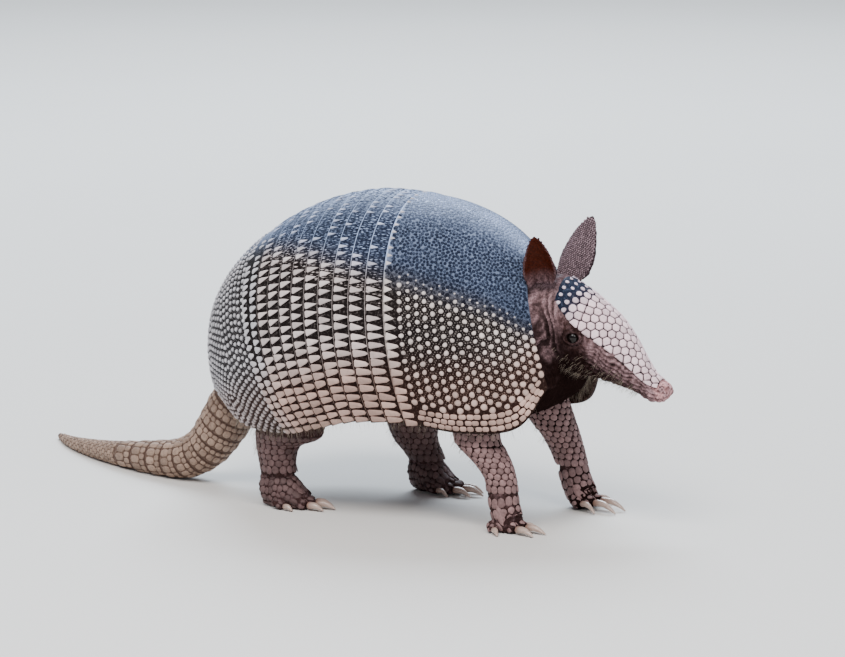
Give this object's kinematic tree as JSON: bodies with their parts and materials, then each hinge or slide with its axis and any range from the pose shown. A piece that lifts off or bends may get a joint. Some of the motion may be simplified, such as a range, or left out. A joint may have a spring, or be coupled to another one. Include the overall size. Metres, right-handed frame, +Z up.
{
  "type": "nine-banded armadillo",
  "caption": "Walking nine-banded armadillo: banded shell over the trunk, long scaled snout, upright ears, clawed feet and a ringed tail on the ground.",
  "frame": {"origin": "on the floor under the middle of the box round the whole animal, tail included", "axes": "+X towards the head, +Y towards the animal's left, +Z up"},
  "size_m": [0.5244, 0.1772, 0.2155],
  "materials": {
    "shell": "satin horn scutes, slate grey above, cream rosettes on the flanks",
    "head_shield": "satin pink-cream horn plates with dark joints",
    "skin": "folded pink-grey skin with sparse hair",
    "leg": "brown-purple skin with pinkish scales",
    "ear": "thin skin, red-brown inside, small grey scales behind",
    "tail": "brown horn rings with dark joints",
    "claw": "smooth pale horn",
    "eye": "wet black"
  },
  "bodies": {
    "root": {"scapular_shield": "shell", "band_1": "shell", "band_2": "shell", "band_3": "shell", "band_4": "shell", "band_5": "shell", "band_6": "shell", "band_7": "shell", "band_8": "shell", "band_9": "shell", "pelvic_shield": "shell", "trunk": "skin", "neck": "skin", "head": "skin", "head_shield": "head_shield", "eye_right": "eye", "eye_left": "eye", "ear_right": "ear", "ear_left": "ear", "tail_1": "tail", "tail_2": "tail", "tail_3": "tail", "tail_4": "tail", "foreleg_right": "leg", "foreleg_left": "leg", "hindleg_right": "leg", "hindleg_left": "leg", "forefoot_right": "leg", "forefoot_left": "leg", "hindfoot_right": "leg", "hindfoot_left": "leg", "foreclaw_right_1": "claw", "foreclaw_right_2": "claw", "foreclaw_right_3": "claw", "foreclaw_right_4": "claw", "hindclaw_right_1": "claw", "hindclaw_right_2": "claw", "hindclaw_right_3": "claw", "hindclaw_right_4": "claw", "hindclaw_right_5": "claw", "foreclaw_left_1": "claw", "foreclaw_left_2": "claw", "foreclaw_left_3": "claw", "foreclaw_left_4": "claw", "hindclaw_left_1": "claw", "hindclaw_left_2": "claw", "hindclaw_left_3": "claw", "hindclaw_left_4": "claw", "hindclaw_left_5": "claw"}
  },
  "joints": []
}
